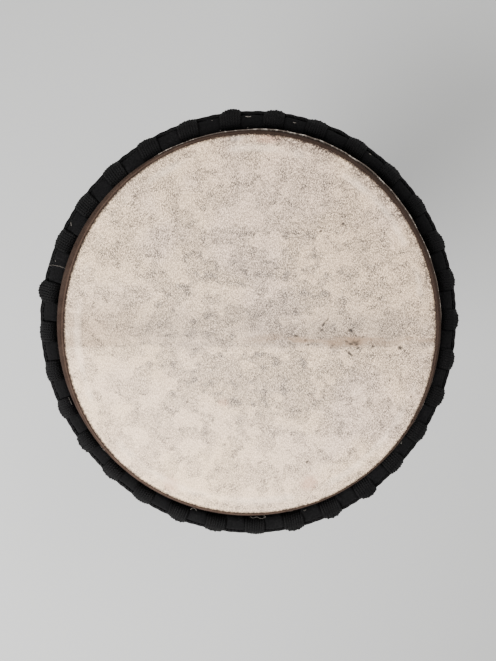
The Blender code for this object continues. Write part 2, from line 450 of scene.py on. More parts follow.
# %% [markdown]
# ## Black cloth
# Each steel ring is wound with a strip of black cotton, so that the rope doesn't slip and the skin isn't
# cut. The weave is two sets of fine threads at right angles, read from the same attribute as the braid.

# %% Cloth finish
cloth_finish, tree, shader, place = new_finish("black cotton strip", roughness=0.88)
THREAD = 0.00045
parts = xyz(at_point(tree, "strand", "Vector"))
turn_here = calc("ARCTAN2", parts[1], parts[0])
warp = calc("SINE", times(turn_here, CROWN[2] * 2 * pi / THREAD))
weft = calc("SINE", times(parts[2], 2 * pi / THREAD))
weave = scaled(times(warp, weft), 0.5, 0.5)
fuzz = noise(place, 900.0, 3.0, 0.7)
dust = use(tree, dust_group, {"Place": place, "Scale": 55.0, "Amount": 0.30})["Mask"]
shade = blend_colours(fade(fuzz, 0.35, 0.65), (0.0004, 0.0004, 0.0005), (0.0028, 0.0026, 0.0028))
shade = blend_colours(dust, shade, (0.018, 0.017, 0.017))
join(shade, shader.inputs["Base Color"])
relief(shader, scaled(fuzz, 0.6, weave), 0.00012)
shader.inputs["Specular IOR Level"].default_value = 0.08
print("cloth finish made")

# %% [markdown]
# ## Directions across a line
# A tube needs a frame of two directions across its line at each point. Turning that frame only as much as
# the line bends keeps the strands from twisting by themselves. On a closed rope the frame has to come back
# to its start, so what is left over is spread along the whole length.

# %% Frames along a line
def frames_along(line, closed):
    """Two directions across the line at each of its points, as two arrays."""
    ahead = np.roll(line, -1, axis=0) - np.roll(line, 1, axis=0)
    if not closed:
        ahead[0] = line[1] - line[0]
        ahead[-1] = line[-1] - line[-2]
    ahead /= np.linalg.norm(ahead, axis=1)[:, None]
    side = np.cross(ahead[0], (0, 0, 1))
    if np.linalg.norm(side) < 0.01:
        side = np.cross(ahead[0], (1, 0, 0))
    sides = []
    for direction in ahead:
        side = side - direction * side.dot(direction)
        side = side / np.linalg.norm(side)
        sides.append(side)
    sides = np.array(sides)
    ups = np.cross(ahead, sides)
    if closed:
        last = sides[-1] - ahead[0] * sides[-1].dot(ahead[0])
        left_over = atan2(last.dot(ups[0]), last.dot(sides[0]))
        turn = -left_over * np.linspace(0, 1, len(line))[:, None]
        sides, ups = sides * np.cos(turn) + ups * np.sin(turn), ups * np.cos(turn) - sides * np.sin(turn)
    return sides, ups


straight_line = np.array([(0.0, 0.0, 0.0), (0.0, 0.0, 1.0), (0.0, 0.0, 2.0)])
print("across a straight line:", frames_along(straight_line, False)[0][1].tolist())

# %% [markdown]
# ## Tubes
# A tube is a grid wrapped round a line. Its radius may swell in lobes, which stand for the strands of a thick
# rope, and its points carry the direction round the rope and the length along it for the braid.

# %% Tubes
def tube_points(line, along, radius, sides_round, closed, lobes=0, lobe_depth=0.0, pace=1.0):
    """Points of a tube, row by row, and its strand attribute. pace shortens the braid of a thin cord."""
    across, up = frames_along(line, closed)
    angles = np.arange(sides_round) * 2 * pi / sides_round
    turned = np.broadcast_to(angles[None, :], (len(along), sides_round))
    swell = 1 + lobe_depth * np.cos(lobes * angles)[None, :]
    reach = (np.broadcast_to(radius, along.shape)[:, None] * swell)[..., None]
    points = line[:, None, :] + reach * (
        across[:, None, :] * np.cos(turned)[..., None] + up[:, None, :] * np.sin(turned)[..., None]
    )
    rows = np.broadcast_to(along[:, None] * pace, turned.shape)
    columns = np.broadcast_to(angles[None, :], turned.shape)
    strand = np.stack([np.cos(columns), np.sin(columns), rows], axis=-1)
    return points.reshape(-1, 3), strand.reshape(-1, 3)


def tube_faces(rows, columns, closed):
    """Faces of a tube, as lists, with round caps of one face each where it is open."""
    faces = [list(face) for face in grid_faces(rows, columns, closed)]
    if not closed:
        faces.append(list(range(columns))[::-1])
        faces.append([(rows - 1) * columns + column for column in range(columns)])
    return faces


def several_tubes(name, tubes, material):
    """One piece made of several tubes. Each tube is (line, along, radius, sides, closed, keywords)."""
    points, strands, faces = [], [], []
    start = 0
    for line, along, radius, sides_round, closed, shape in tubes:
        tube, strand = tube_points(line, along, radius, sides_round, closed, **shape)
        own_faces = tube_faces(len(line), sides_round, closed)
        faces += [[start + int(corner) for corner in face] for face in own_faces]
        points.append(tube)
        strands.append(strand)
        start += len(tube)
    return piece(name, np.concatenate(points), faces, material, {"strand": np.concatenate(strands)})


print("a tube of 5 rows and 6 columns has", len(tube_faces(5, 6, False)), "faces with its caps")

# %% [markdown]
# ## The bend of the crown ring
# A ring of rod that is pulled down at 31 places bends a little over the years. Its cloth, its ropes and the
# top of the lacing all follow the same bend, a sum of a few slow waves round the ring.

# %% The bend of the crown ring
BENT_EVENLY = 0.00027
# the count of waves round the ring, their height in mm, and where a top is, in degrees
BENT_MM = [(1, 0.53, 8), (2, 1.68, 165), (3, 1.10, 145), (4, 0.39, -3)]


def swell_at(angle, middle, width):
    """A smooth swelling of height 1 at one angle round the drum. The middle and the width are in degrees."""
    away = (angle - radians(middle) + pi) % (2 * pi) - pi
    return np.exp(-(away / radians(width)) ** 2)


def leaning_out(angle):
    """1 where the skin's flap leans out most, at the upper right, and 0 far from there."""
    return swell_at(angle, 66, 34)


def bent_out(angle):
    """How far the crown ring is bent out of round at this angle."""
    total = BENT_EVENLY
    for count, height_mm, top in BENT_MM:
        total = total + height_mm / 1000 * np.cos(count * angle - radians(top))
    return total


bend_mm = [1000 * bent_out(radians(degrees)) for degrees in range(360)]
print("the crown ring is bent by", round(min(bend_mm), 1), "to", round(max(bend_mm), 1), "mm")

# %% [markdown]
# ## The wrapped rings
# The cloth strip winds round the rod like a bandage: each turn starts on top of the last one's edge, so
# there is a small step that runs slantwise round the ring. Soft lumps come from folds inside the wrapping.
# Between two loops of rope the thick cloth puffs out towards the skin, and under each loop it is squeezed
# flat.

# %% The wrapping
STRIP_PITCH = 0.0165
STRIP_STEP = 0.00035
CLOTH_ROW = 0.0014
CLOTH_COLUMNS = 20
SQUEEZED_HALF = 0.0073      # half the length of ring that a lashing squeezes
PUFF_SLOPE = 0.0027
PUFF_ALL_ROUND = 0.0009
PUFF_INWARD = 0.0040


def puffed(angle, turn, loops):
    """How far the cloth puffs out between the loops, most of all towards the skin."""
    from_loops = np.abs((angle - np.array(loops)[None, :] + pi) % (2 * pi) - pi)
    nearest = np.min(from_loops, axis=1)[:, None] * CROWN[0]
    free = np.clip((nearest - SQUEEZED_HALF) / PUFF_SLOPE, 0, 1)
    free = free * free * (3 - 2 * free)
    inward = PUFF_INWARD * (1 - 0.35 * leaning_out(angle))
    inward = inward + 0.0011 * swell_at(angle, 165, 32) - 0.0012 * swell_at(angle, 240, 38)
    return free * (PUFF_ALL_ROUND + inward * np.clip(-np.cos(turn), 0, 1) ** 1.5)


def wrapped_ring(node, ring, seed, loops=()):
    """The cloth on a ring. A ring with loops is bent and puffs out between them."""
    radius, height, rod = ring
    rows = int(2 * pi * radius / CLOTH_ROW)
    angle = np.arange(rows)[:, None] * 2 * pi / rows
    turn = np.arange(CLOTH_COLUMNS)[None, :] * 2 * pi / CLOTH_COLUMNS
    phase = (angle / (2 * pi) * round(2 * pi * radius / STRIP_PITCH) + turn / (2 * pi)) % 1.0
    step_up = STRIP_STEP * np.clip(phase * 1.15 - 0.1, 0, 1) * np.clip((1 - phase) / 0.10, 0, 1)
    lumps = 0.00016 * np.sin(angle * 23 + 2 * turn + seed) * np.sin(angle * 41 - turn + 2 * seed)
    reach = rod - 0.00030 + step_up + lumps
    strand = np.stack(np.broadcast_arrays(np.cos(turn), np.sin(turn), angle * radius), axis=-1)
    if loops:
        reach = reach + puffed(angle, turn, loops)
        radius = radius + bent_out(angle)
    out = radius + reach * np.cos(turn)
    points = np.stack([out * np.cos(angle), out * np.sin(angle), height + reach * np.sin(turn)], axis=-1)
    faces = grid_faces(rows, CLOTH_COLUMNS, close_rows=True)[:, ::-1]
    made = piece(node + "_wrapped", points.reshape(-1, 3), faces, cloth_finish,
                 {"strand": strand.reshape(-1, 3)})
    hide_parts(node)


print("one turn of the cloth strip every", STRIP_PITCH, "m")

# %% [markdown]
# ## The loops on the crown ring
# A thick rope runs round the outer side of the ring. At 31 places a thin cord lashes it down, and an eye
# for the lacing hangs below. The spacing is a maker's: 21 close loops, then 9 wider ones, and a last gap
# beside the knot, where the lashing is thicker.

# %% Where the loops are
LOOPS = 31
KNOT_ANGLE = radians(169.6)
CLOSE_PITCH = radians(11.33)
CLOSE_LOOPS = 21
WIDE_PITCH = radians(11.9)
CROWN_EYE = (0.1830, CROWN[1] - 0.0240)
BOTTOM_EYE = (0.1010, BOTTOM[1] + 0.0225)

loop_angles = [KNOT_ANGLE]
for place_in_row in range(1, LOOPS):
    loop_angles.append(loop_angles[-1] + (CLOSE_PITCH if place_in_row <= CLOSE_LOOPS else WIDE_PITCH))
next_angles = loop_angles[1:] + [loop_angles[0] + 2 * pi]
halfway_angles = [(a + b) / 2 for a, b in zip(loop_angles, next_angles)]
gaps = {round((b - a) * 180 / pi, 1) for a, b in zip(loop_angles, next_angles)}
print("gaps between loops, in degrees:", sorted(gaps))

# %% [markdown]
# ## Both wrapped rings
# The crown ring's cloth needs the places of the loops, for its puffs. The bottom ring is hidden by its
# rope, so it stays plain.

# %% Wrap both rings
wrapped_ring("crown_ring", CROWN, 1.0, loop_angles)
wrapped_ring("bottom_ring", BOTTOM, 2.3)

# %% [markdown]
# ## Rope of the crown ring
# Each lashing is wound as eight real turns round the ring and the rope together, because its ribs are what
# the head's edge shows. Every lashing was pulled by hand, so each hump has its own height and its own
# highest place.

# %% Humps of the crown rope
LASHING_TURNS = 8
CORD = 0.0016
CORD_PITCH = 0.00215
HUMP_HALF = 0.0083
LEAN = radians(-14)             # the rope lies a little below the ring's outer side
ROPE_OFF_CORE = 0.0075
TAUT_SPANS = (0, 22)            # here the rope stands off the ring a little, and light comes through
RIB = {"lobes": 6, "lobe_depth": 0.115}
HUMP_MM = [3.9, 0.8, 1.2, 2.2, 2.2, 1.9, 1.5, 2.0, 1.5, 0.9, 2.4, 2.6, 3.4, 1.6, 1.7, 2.2, 2.0, 2.1, 1.8, 1.7,
           1.0, 1.1, 1.1, 1.2, 1.8, 2.7, 1.2, 1.3, 1.3, 1.1, 1.2]
HUMP_SHIFTS = [0, 3, 5, 3, 2, 0, 0, 5, -2, 3, 0, 0, 3, -2, 0, 2, -2, 0, 0, -5, -2, 0, -3, -2, -2, -3, -2, 5,
               3, 3, 2]
HUMP_SHIFT = 0.00045            # how far along the ring one such shift moves the highest place
chance = np.random.default_rng(31)


def hump(index, sideways):
    """How far the lashing stands out beyond the bare rope, this far along the ring from the loop's middle."""
    across = np.clip(np.abs(sideways - HUMP_SHIFTS[index] * HUMP_SHIFT) / HUMP_HALF, 0, 1)
    return (HUMP_MM[index] + 0.7) / 1000 * (1 - across ** 2) ** 0.65


print("highest hump", max(HUMP_MM), "mm, lowest", min(HUMP_MM), "mm")

# %% [markdown]
# ## Lashings
# A turn of cord goes straight from the ring to the rope and round it, like a belt over two wheels. The
# belt's normal says which wheel it touches.

# %% Lashings
def lashing(index, angle):
    """The thin cord that is wound round the ring and the running rope."""
    count = LASHING_TURNS * 36
    share = np.linspace(0, 1, count)
    normal = radians(-160) + share * LASHING_TURNS * 2 * pi
    uneven = 0.00008 * chance.standard_normal(count // 6).repeat(6)
    sideways = (share - 0.5) * LASHING_TURNS * CORD_PITCH + uneven
    rise = hump(index, sideways) * (1 + 0.10 * np.sin(normal * 0.5 + index))
    on_ring = CROWN[2] + CORD - 0.0004
    round_rope = ROPE - CORD + rise / 2 + 0.0001
    beside_rope = ROPE_OFF_CORE + rise / 2
    touches_rope = np.cos(normal - LEAN) > (on_ring - round_rope) / beside_rope
    wheel = np.where(touches_rope, round_rope, on_ring)
    out = np.where(touches_rope, beside_rope * cos(LEAN), 0) + wheel * np.cos(normal)
    up = np.where(touches_rope, beside_rope * sin(LEAN), 0) + wheel * np.sin(normal)
    ring_here = CROWN[0] + bent_out(angle + sideways / CROWN[0])
    turns = [around(angle, r + o, CROWN[1] + u, s) for r, o, u, s in zip(ring_here, out, up, sideways)]
    line, along = even_steps(np.array(turns), CORD)
    return line, along, CORD, 8, False, {"pace": 1.9}


print("a lashing is about", round(LASHING_TURNS * CORD_PITCH, 3), "m wide")

# %% [markdown]
# ## Eyes and the running rope
# The eyes are short bights of thick rope, and one thick rope runs all the way round under the lashings. The
# running rope is made first, because each lashing is wound over it.

# %% Crown rope
EYE_HALF = [(-0.0050, 0.0170, 0.0020), (-0.0012, 0.0115, 0.0040), (0.0, 0.0060, 0.0050), (0.0, 0.0016, 0.0044),
            (0.0, 0.0, 0.0016)]     # one leg of an eye: outwards, up and sideways from its lowest point
ALONG_A_LASHING = (-0.0145, -0.0105, -0.0082, -0.0050, 0.0, 0.0050, 0.0082, 0.0105, 0.0145)


def eye(angle):
    """The loop that hangs from a lashing, pulled to a narrow U by the lacing."""
    radius, height = CROWN_EYE[0] + bent_out(angle), CROWN_EYE[1]
    half = [(radius + out, height + rise, sideways) for out, rise, sideways in EYE_HALF]
    whole = [(r, h, -s) for r, h, s in half] + [(r, h, s) for r, h, s in reversed(half)]
    line = smooth([around(angle, r, h, s) for r, h, s in whole])
    line, along = even_steps(line, 0.0018)
    return line, along, ROPE, 12, False, RIB


def running_rope():
    """The thick rope along the ring's outer side, a little further out under each lashing."""
    points = []
    for index, angle in enumerate(loop_angles):
        for sideways in ALONG_A_LASHING:
            distance = ROPE_OFF_CORE + float(hump(index, sideways)) / 2 + 0.00012 * chance.standard_normal()
            ring_here = (CROWN[0] + bent_out(angle + sideways / CROWN[0]), CROWN[1])
            points.append(beside(ring_here, angle, LEAN, distance, sideways))
        taut = 0.0012 if index in TAUT_SPANS else 0.0002
        ring_here = (CROWN[0] + bent_out(halfway_angles[index]), CROWN[1])
        points.append(beside(ring_here, halfway_angles[index], LEAN, ROPE_OFF_CORE + taut))
    line, along = even_steps(smooth(points, closed=True), 0.0018, closed=True)
    return line, along, ROPE * 0.97, 12, True, RIB


crown_tubes = [running_rope()]
for index, angle in enumerate(loop_angles):
    crown_tubes.append(lashing(index, angle))
    crown_tubes.append(eye(angle))
crown_rope = several_tubes("crown_loops_rope", crown_tubes, rope_finish)
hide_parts("crown_loops")

# %% [markdown]
# ## Rope of the bottom ring
# This rope winds once round the bottom ring for each eye, and the eye stands up where the lacing pulls it.

# %% Bottom rope
ROUND_THE_RING = [(-50, -0.0062), (-95, -0.0058), (-140, -0.0052), (-180, -0.0050), (140, -0.0049)]
INTO_THE_EYE = [(-0.0085, 0.0085, -0.0048), (-0.0022, 0.0035, -0.0046), (0, 0.0004, -0.0028),
                (0, 0.0004, 0.0028), (-0.0003, 0.0040, 0.0047), (-0.0018, 0.0120, 0.0050)]


def bottom_route():
    """Once round the bottom ring and up into an eye, for each eye."""
    points = []
    distance = BOTTOM[2] + ROPE + 0.0002
    radius, height = BOTTOM_EYE
    for angle in halfway_angles:
        for turn, sideways in ROUND_THE_RING:
            points.append(beside(BOTTOM, angle, radians(turn), distance, sideways))
        for out, drop, sideways in INTO_THE_EYE:
            points.append(around(angle, radius + out, height - drop, sideways))
        points.append(beside(BOTTOM, angle, radians(-20), distance, 0.0056))
    return points


line, along = even_steps(smooth(bottom_route(), closed=True, steps=6), 0.0018, closed=True)
bottom_rope = several_tubes("bottom_loops_rope", [(line, along, ROPE, 12, True, RIB)], rope_finish)
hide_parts("bottom_loops")

# %% [markdown]
# ## The lacing
# One long rope goes up through an eye of the crown rope, down through an eye of the bottom rope, and so on
# round the drum. Between the eyes it is pulled straight.

# %% Lacing rope
TURN_RADIUS = 2 * ROPE + 0.0003
STRAIGHT = 0.012                # the rope is straight from this far beyond its turn
LEANS_IN = 0.004                # and there it has leaned towards the other ring by this much
HALF_TURN = [(1, 0.001), (0.72, -0.70), (0, -1), (-0.72, -0.70), (-1, 0.001)]


def turn_in_eye(angle, radius, height, side):
    """A half turn through an eye: side is 1 for an eye of the crown rope, and -1 for the bottom rope."""
    route = [(1, STRAIGHT)] + HALF_TURN + [(-1, STRAIGHT)]
    points = []
    for out, down in route:
        fall = down if down > 0 else down * TURN_RADIUS
        leaning = LEANS_IN if down == STRAIGHT else 0
        points.append(around(angle, radius + side * (out * TURN_RADIUS - leaning), height - side * fall))
    return points


lacing_route = []
for upper, lower in zip(loop_angles, halfway_angles):
    lacing_route += turn_in_eye(upper, CROWN_EYE[0] + bent_out(upper), CROWN_EYE[1], 1)
    lacing_route += turn_in_eye(lower, *BOTTOM_EYE, -1)
line, along = even_steps(smooth(lacing_route, closed=True, steps=6), 0.0026, closed=True)
print("the lacing is", round(along[-1], 2), "m long")
lacing_tube = (line, along, ROPE, 10, True, {"lobes": 5, "lobe_depth": 0.05})
lacing = several_tubes("lacing_rope_braided", [lacing_tube], rope_finish)
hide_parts("lacing_rope")

# %% [markdown]
# ## Oiled wood
# The shell is one block of a dense red-brown hardwood. Its growth rings run round the log, so on the carved
# side they show as long upright streaks. Fine pores are cut open as short dashes along the grain.

# %% Wood grain group
RINGS_PER_METRE = 210.0
PITH = (-0.022, 0.014)          # the log's middle is not quite the drum's axis
grain_group, grain_in, grain_out = new_group("wood grain", {"Place": None, "Rings": RINGS_PER_METRE},
                                             ["Streak", "Pore"])
parts = xyz(grain_in["Place"])
across_x = plus(parts[0], -PITH[0])
across_y = plus(parts[1], -PITH[1])
squares = scaled(across_x, across_x, times(across_y, across_y))
bend = noise(stretched(grain_in["Place"], 14, 14, 3), 1.0, 3.0)
from_pith = scaled(bend, 0.018, calc("SQRT", squares))
ring_count = times(from_pith, grain_in["Rings"])
late_wood = calc("POWER", calc("FRACT", ring_count), 2.5)
fibre = fade(noise(stretched(grain_in["Place"], 190, 190, 5), 1.0, 5.0, 0.68), 0.32, 0.72)
streak = scaled(late_wood, 0.16, times(fibre, 0.95))
join(streak, grain_out["Streak"])
cells = add(grain_group, "ShaderNodeTexVoronoi",
            {"Vector": stretched(grain_in["Place"], 850, 850, 70), "Scale": 1.0})
open_pore = fade_out(cells.outputs["Distance"], 0.10, 0.26)
join(open_pore, grain_out["Pore"])
print("growth rings", round(1000 / RINGS_PER_METRE, 1), "mm apart")

# %% [markdown]
# ## The wood's finish
# Outside, the wood was oiled and has darkened. Inside it is raw and much paler, and so is the rubbed edge of
# the foot, where the drum stands and gets knocked.

# %% Wood finish
wood_finish, tree, shader, place = new_finish("oiled hardwood")
grain = use(tree, grain_group, {"Place": place, "Rings": RINGS_PER_METRE})
within = at_point(tree, "inside")
above_floor = xyz(place)[2]
clouds = noise(place, 9.0, 3.0)
shade = blend_colours(grain["Streak"], (0.064, 0.020, 0.0085), (0.013, 0.0042, 0.0024))
shade = blend_colours(times(clouds, 0.45), shade, (0.024, 0.0066, 0.0032))
raw = blend_colours(grain["Streak"], (0.170, 0.096, 0.050), (0.070, 0.035, 0.019))
shade = blend_colours(within, shade, raw)
rubbed = times(fade_out(above_floor, 0.001, 0.011), fade(noise(place, 70.0, 4.0, 0.65), 0.40, 0.58))
shade = blend_colours(rubbed, shade, (0.160, 0.095, 0.056))
shade = blend_colours(times(grain["Pore"], 0.65), shade, (0.012, 0.005, 0.003))
dust = use(tree, dust_group, {"Place": place, "Scale": 30.0, "Amount": 0.22})["Mask"]
shade = blend_colours(dust, shade, (0.100, 0.082, 0.070))
join(shade, shader.inputs["Base Color"])
gloss = scaled(clouds, 0.22, scaled(within, 0.35, 0.30))
join(scaled(rubbed, 0.25, gloss, clamp=True), shader.inputs["Roughness"])
shader.inputs["Specular IOR Level"].default_value = 0.30
relief(shader, scaled(grain["Pore"], -0.8, grain["Streak"]), 0.00025)
print("wood finish made")

# %% [markdown]
# ## Turned shapes
# The shell and the skin are turned shapes: one profile carried round the axis. The helper gives every point
# its angle and its height, so that carving marks and a wavy cut edge can be worked out from them.

# %% Turned grids
def turned_grid(profile, columns):
    """Radius, height and angle for each point of the grid, as rows by columns."""
    profile = np.asarray(profile, dtype=float)
    angle = np.arange(columns)[None, :] * 2 * pi / columns
    shape = (len(profile), columns)
    return [np.array(np.broadcast_to(part, shape)) for part in (profile[:, :1], profile[:, 1:2], angle)]


def turned_points(radius, height, angle):
    """The grid's points, one after the other."""
    return np.stack([radius * np.cos(angle), radius * np.sin(angle), height], axis=-1).reshape(-1, 3)


def waves(angle, place, count, seed, spread=1.0):
    """A smooth uneven value from about -1 to 1, which comes back to its start after a full turn."""
    pick = np.random.default_rng(seed)
    total = np.zeros_like(angle)
    for _ in range(6):
        turns = pick.integers(count // 2, count)
        total += np.sin(angle * turns + place * spread * pick.uniform(0.5, 1) + pick.uniform(0, 2 * pi))
    return total / 2.6


def even_profile(points, step):
    """A smooth profile through these points, in even steps."""
    line = smooth([(radius, 0, height) for radius, height in points])
    return even_steps(line, step)[0][:, ::2]


print("a profile of 0.1 m in steps of 0.02 m has", len(even_profile([(0, 0), (0.1, 0)], 0.02)), "points")

# %% [markdown]
# ## The shell
# The shell is carved from one log: a bowl on a hollow stem. The outside was shaved with a long blade and
# sanded, so only faint flats run down it. The inside was cut with an adze, which leaves rows of shallow
# scoops.

# %% Shell
SHELL_COLUMNS = 200
SHELL_OUTSIDE = [
    (0.1570, SHELL_TOP), (0.1600, SHELL_TOP - 0.0008), (0.1622, SHELL_TOP - 0.0030),
    (SHELL_RADIUS, SHELL_TOP - 0.0080), (SHELL_RADIUS, 0.566), (SHELL_RADIUS - 0.0006, 0.545), (0.1580, 0.513),
    (0.1465, 0.478), (0.1185, 0.400), (0.0945, 0.335), (0.0755, 0.297), (0.0670, 0.270), (0.0700, 0.235),
    (0.0790, 0.175), (0.0960, 0.105), (0.1190, 0.040), (0.1262, 0.012), (0.1268, 0.0050), (0.1258, 0.0012),
    (0.1235, 0.0),
]
SHELL_INSIDE = [
    (0.1100, 0.0), (0.1070, 0.0018), (0.1050, 0.010), (0.0820, 0.095), (0.0590, 0.190), (0.0520, 0.265),
    (0.0590, 0.308), (0.1030, 0.405), (0.1340, 0.490), (0.1490, 0.565), (0.1530, SHELL_TOP - 0.0040),
    (0.1560, SHELL_TOP - 0.0003),
]
outside_line = even_profile(SHELL_OUTSIDE, 0.0040)
inside_line = even_profile(SHELL_INSIDE, 0.0050)
shell_profile = np.concatenate([outside_line, inside_line])
radius, height, angle = turned_grid(shell_profile, SHELL_COLUMNS)
is_inside = np.zeros_like(radius)
is_inside[len(outside_line) - 1:] = 1
flats = 0.00022 * waves(angle, height, 44, 5, 18.0)
scoop_row = height / 0.034
scoops = 0.0012 * np.abs(np.sin(angle * 9 + np.floor(scoop_row) * 1.3) * np.sin(scoop_row * pi))
well_below_rim = np.clip((SHELL_TOP - 0.012 - height) / 0.03, 0, 1)
above_foot = np.clip((height - 0.004) / 0.02, 0, 1)
radius += (is_inside * scoops * above_foot + (1 - is_inside) * flats) * well_below_rim
shell_faces = grid_faces(len(shell_profile), SHELL_COLUMNS, close_rows=True)
shell = piece("shell_carved", turned_points(radius, height, angle), shell_faces, wood_finish,
              {"inside": is_inside.ravel()})
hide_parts("shell")

# %% [markdown]
# ## Goat skin
# The skin was shaved over the playing surface and left brown over the edge. The shaved part keeps its
# follicles as short dark ticks, with finer fibres between them. A tick is a cell of a random pattern that
# is twice as high as wide. Not every cell is kept, because not every follicle is open.

# %% Follicle group
follicle_group, follicle_in, follicle_out = new_group("follicles", {"Place": None, "Size": 0.0022}, ["Mask"])
sway = noise(follicle_in["Place"], 35.0, 2.0)
lean_by = times(minus(sway, 0.5), 0.008)
parts = xyz(follicle_in["Place"])
per_size = calc("DIVIDE", 1.0, follicle_in["Size"])
tick_x = times(plus(parts[0], lean_by), per_size)
tick_y = times(parts[1], 0.50, per_size)
tick_place = add(follicle_group, "ShaderNodeCombineXYZ", {0: tick_x, 1: tick_y}).outputs[0]
cells = add(follicle_group, "ShaderNodeTexVoronoi", {"Vector": tick_place, "Scale": 1.0},
            voronoi_dimensions="2D")
chance_here = add(follicle_group, "ShaderNodeSeparateColor", {0: cells.outputs["Color"]}).outputs[0]
tick = times(fade_out(cells.outputs["Distance"], 0.20, 0.40), fade(chance_here, 0.05, 0.40))
fibres = fade(noise(stretched(tick_place, 1.9, 2.1, 1.0), 1.0, 1.0), 0.47, 0.54)
join(calc("MAXIMUM", tick, times(fibres, 0.70)), follicle_out["Mask"])
print("follicles made")

# %% [markdown]
# ## Spots
# A spot is a ragged patch with a middle, a size, a stretch and a turn. Noise moves its border in and out,
# more on a large spot than on a small one.

# %% Spot group
SPOT_INPUTS = {"Place": None, "Centre": None, "Size": 0.002, "Stretch": 1.0, "Turn": 0.0}
spot_group, spot_in, spot_out = new_group("spot", SPOT_INPUTS, ["Mask"])
offset = add(spot_group, "ShaderNodeVectorMath", {0: spot_in["Place"], 1: spot_in["Centre"]},
             operation="SUBTRACT").outputs[0]
turned = add(spot_group, "ShaderNodeVectorRotate", {"Vector": offset, "Angle": spot_in["Turn"]},
             rotation_type="Z_AXIS").outputs[0]
narrower = calc("DIVIDE", 1.0, spot_in["Stretch"])
squash = add(spot_group, "ShaderNodeCombineXYZ", {0: narrower, 1: 1.0}).outputs[0]
flat = add(spot_group, "ShaderNodeVectorMath", {0: turned, 1: squash}, operation="MULTIPLY").outputs[0]
from_centre = add(spot_group, "ShaderNodeVectorMath", {0: flat}, operation="LENGTH").outputs["Value"]
ragged = minus(noise(spot_in["Place"], 520.0, 3.0, 0.75), 0.5)
raggedness = scaled(spot_in["Size"], 1.5, -0.0008)
spot_reach = calc("DIVIDE", scaled(ragged, raggedness, from_centre), spot_in["Size"])
join(fade_out(spot_reach, 0.35, 1.25), spot_out["Mask"])
print("spot group made")

# %% [markdown]
# ## Colours of the shaved skin
# Where the razor took everything off, the skin is cream. It is greyer where it was left thicker and warmer
# towards the lower left. Towards the upper right it is darker and more tan: partly the skin's own tan and
# partly painted shade. The goat's back was a darker band across the middle.

# %% Colours of the shaved skin
CREAM = (0.910, 0.675, 0.458)
PINK_GREY = (0.880, 0.660, 0.510)
TAN_AND_SHADE = (0.800, 0.550, 0.340)
WARM = (0.930, 0.672, 0.420)
GREY = (0.500, 0.395, 0.310)
BACK_GREY = (0.450, 0.345, 0.265)
BACK_BROWN = (0.560, 0.370, 0.210)

skin_finish, tree, shader, place = new_finish("goat skin", roughness=0.62)
reach = at_point(tree, "reach")             # how far a point is beyond the border of the shaved part
right, up = xyz(place)[:2]
clouds = noise(place, 66.0, 2.5, 0.5)
dense = fade(noise(place, 120.0, 3.0, 0.55), 0.50, 0.66)
grey = times(fade_out(clouds, 0.50, 0.57), scaled(dense, 0.6, 0.4))
shade = blend_colours(fade(noise(place, 16.0, 2.0), 0.40, 0.62), CREAM, PINK_GREY)
# darker and more tan towards the upper right: partly tan, partly painted shade on the side away from the key
# light
to_upper_right = scaled(right, 0.7, times(up, 0.7))
shade = blend_colours(times(fade(to_upper_right, -0.10, 0.16), 0.45), shade, TAN_AND_SHADE)
to_lower_left = scaled(right, -0.75, times(up, -0.66))
shade = blend_colours(times(fade(to_lower_left, -0.02, 0.08), 0.55), shade, WARM)
near_rim = fade_out(calc("ABSOLUTE", reach), 0.02, 0.11)
shade = blend_colours(times(grey, scaled(near_rim, -0.50, 0.85)), shade, GREY)

spine_y = on_head(315, 340).y
above_spine = minus(up, spine_y)
back_of_goat = times(fade(above_spine, -0.0085, -0.0040), fade_out(above_spine, 0.010, 0.042),
                     fade(noise(stretched(place, 28, 80, 1), 1.0, 3.0), 0.28, 0.55))
shade = blend_colours(times(back_of_goat, 0.62), shade, BACK_GREY)
left_part = fade_out(right, on_head(85, 340).x, on_head(170, 340).x)
shade = blend_colours(times(back_of_goat, left_part, 0.45), shade, BACK_BROWN)
print("spine line at y", round(spine_y, 4))

# %% [markdown]
# ## Follicles
# Two sizes of follicles lie over each other. They show less at the lower left, where the shaving went
# deepest.

# %% Follicles on the skin
TICK_SIZE, SMALL_TICK_SIZE = 0.00160, 0.00092
ticks = use(tree, follicle_group, {"Place": place, "Size": TICK_SIZE})["Mask"]
small_ticks = use(tree, follicle_group, {"Place": place, "Size": SMALL_TICK_SIZE})["Mask"]
fewer_ticks_lower_left = fade(scaled(right, -0.5, times(up, -0.86)), -0.02, 0.15)
tick_share = minus(scaled(grey, 0.30, 0.52), times(fewer_ticks_lower_left, 0.22))
shade = blend_colours(times(ticks, tick_share), shade, (0.024, 0.017, 0.013))
small_share = calc("MULTIPLY", tick_share, 1.35, clamp=True)
shade = blend_colours(times(small_ticks, small_share), shade, (0.028, 0.020, 0.016))
print("follicles on the skin, up to", 1000 * TICK_SIZE, "mm")

# %% [markdown]
# ## The marks on the skin
# For each colour, a mark is the place of its middle in the picture's frame, its size in millimetres, how
# much wider than high it is, its turn in degrees and how strong it is. The stain beside the spine line is
# many marks together.

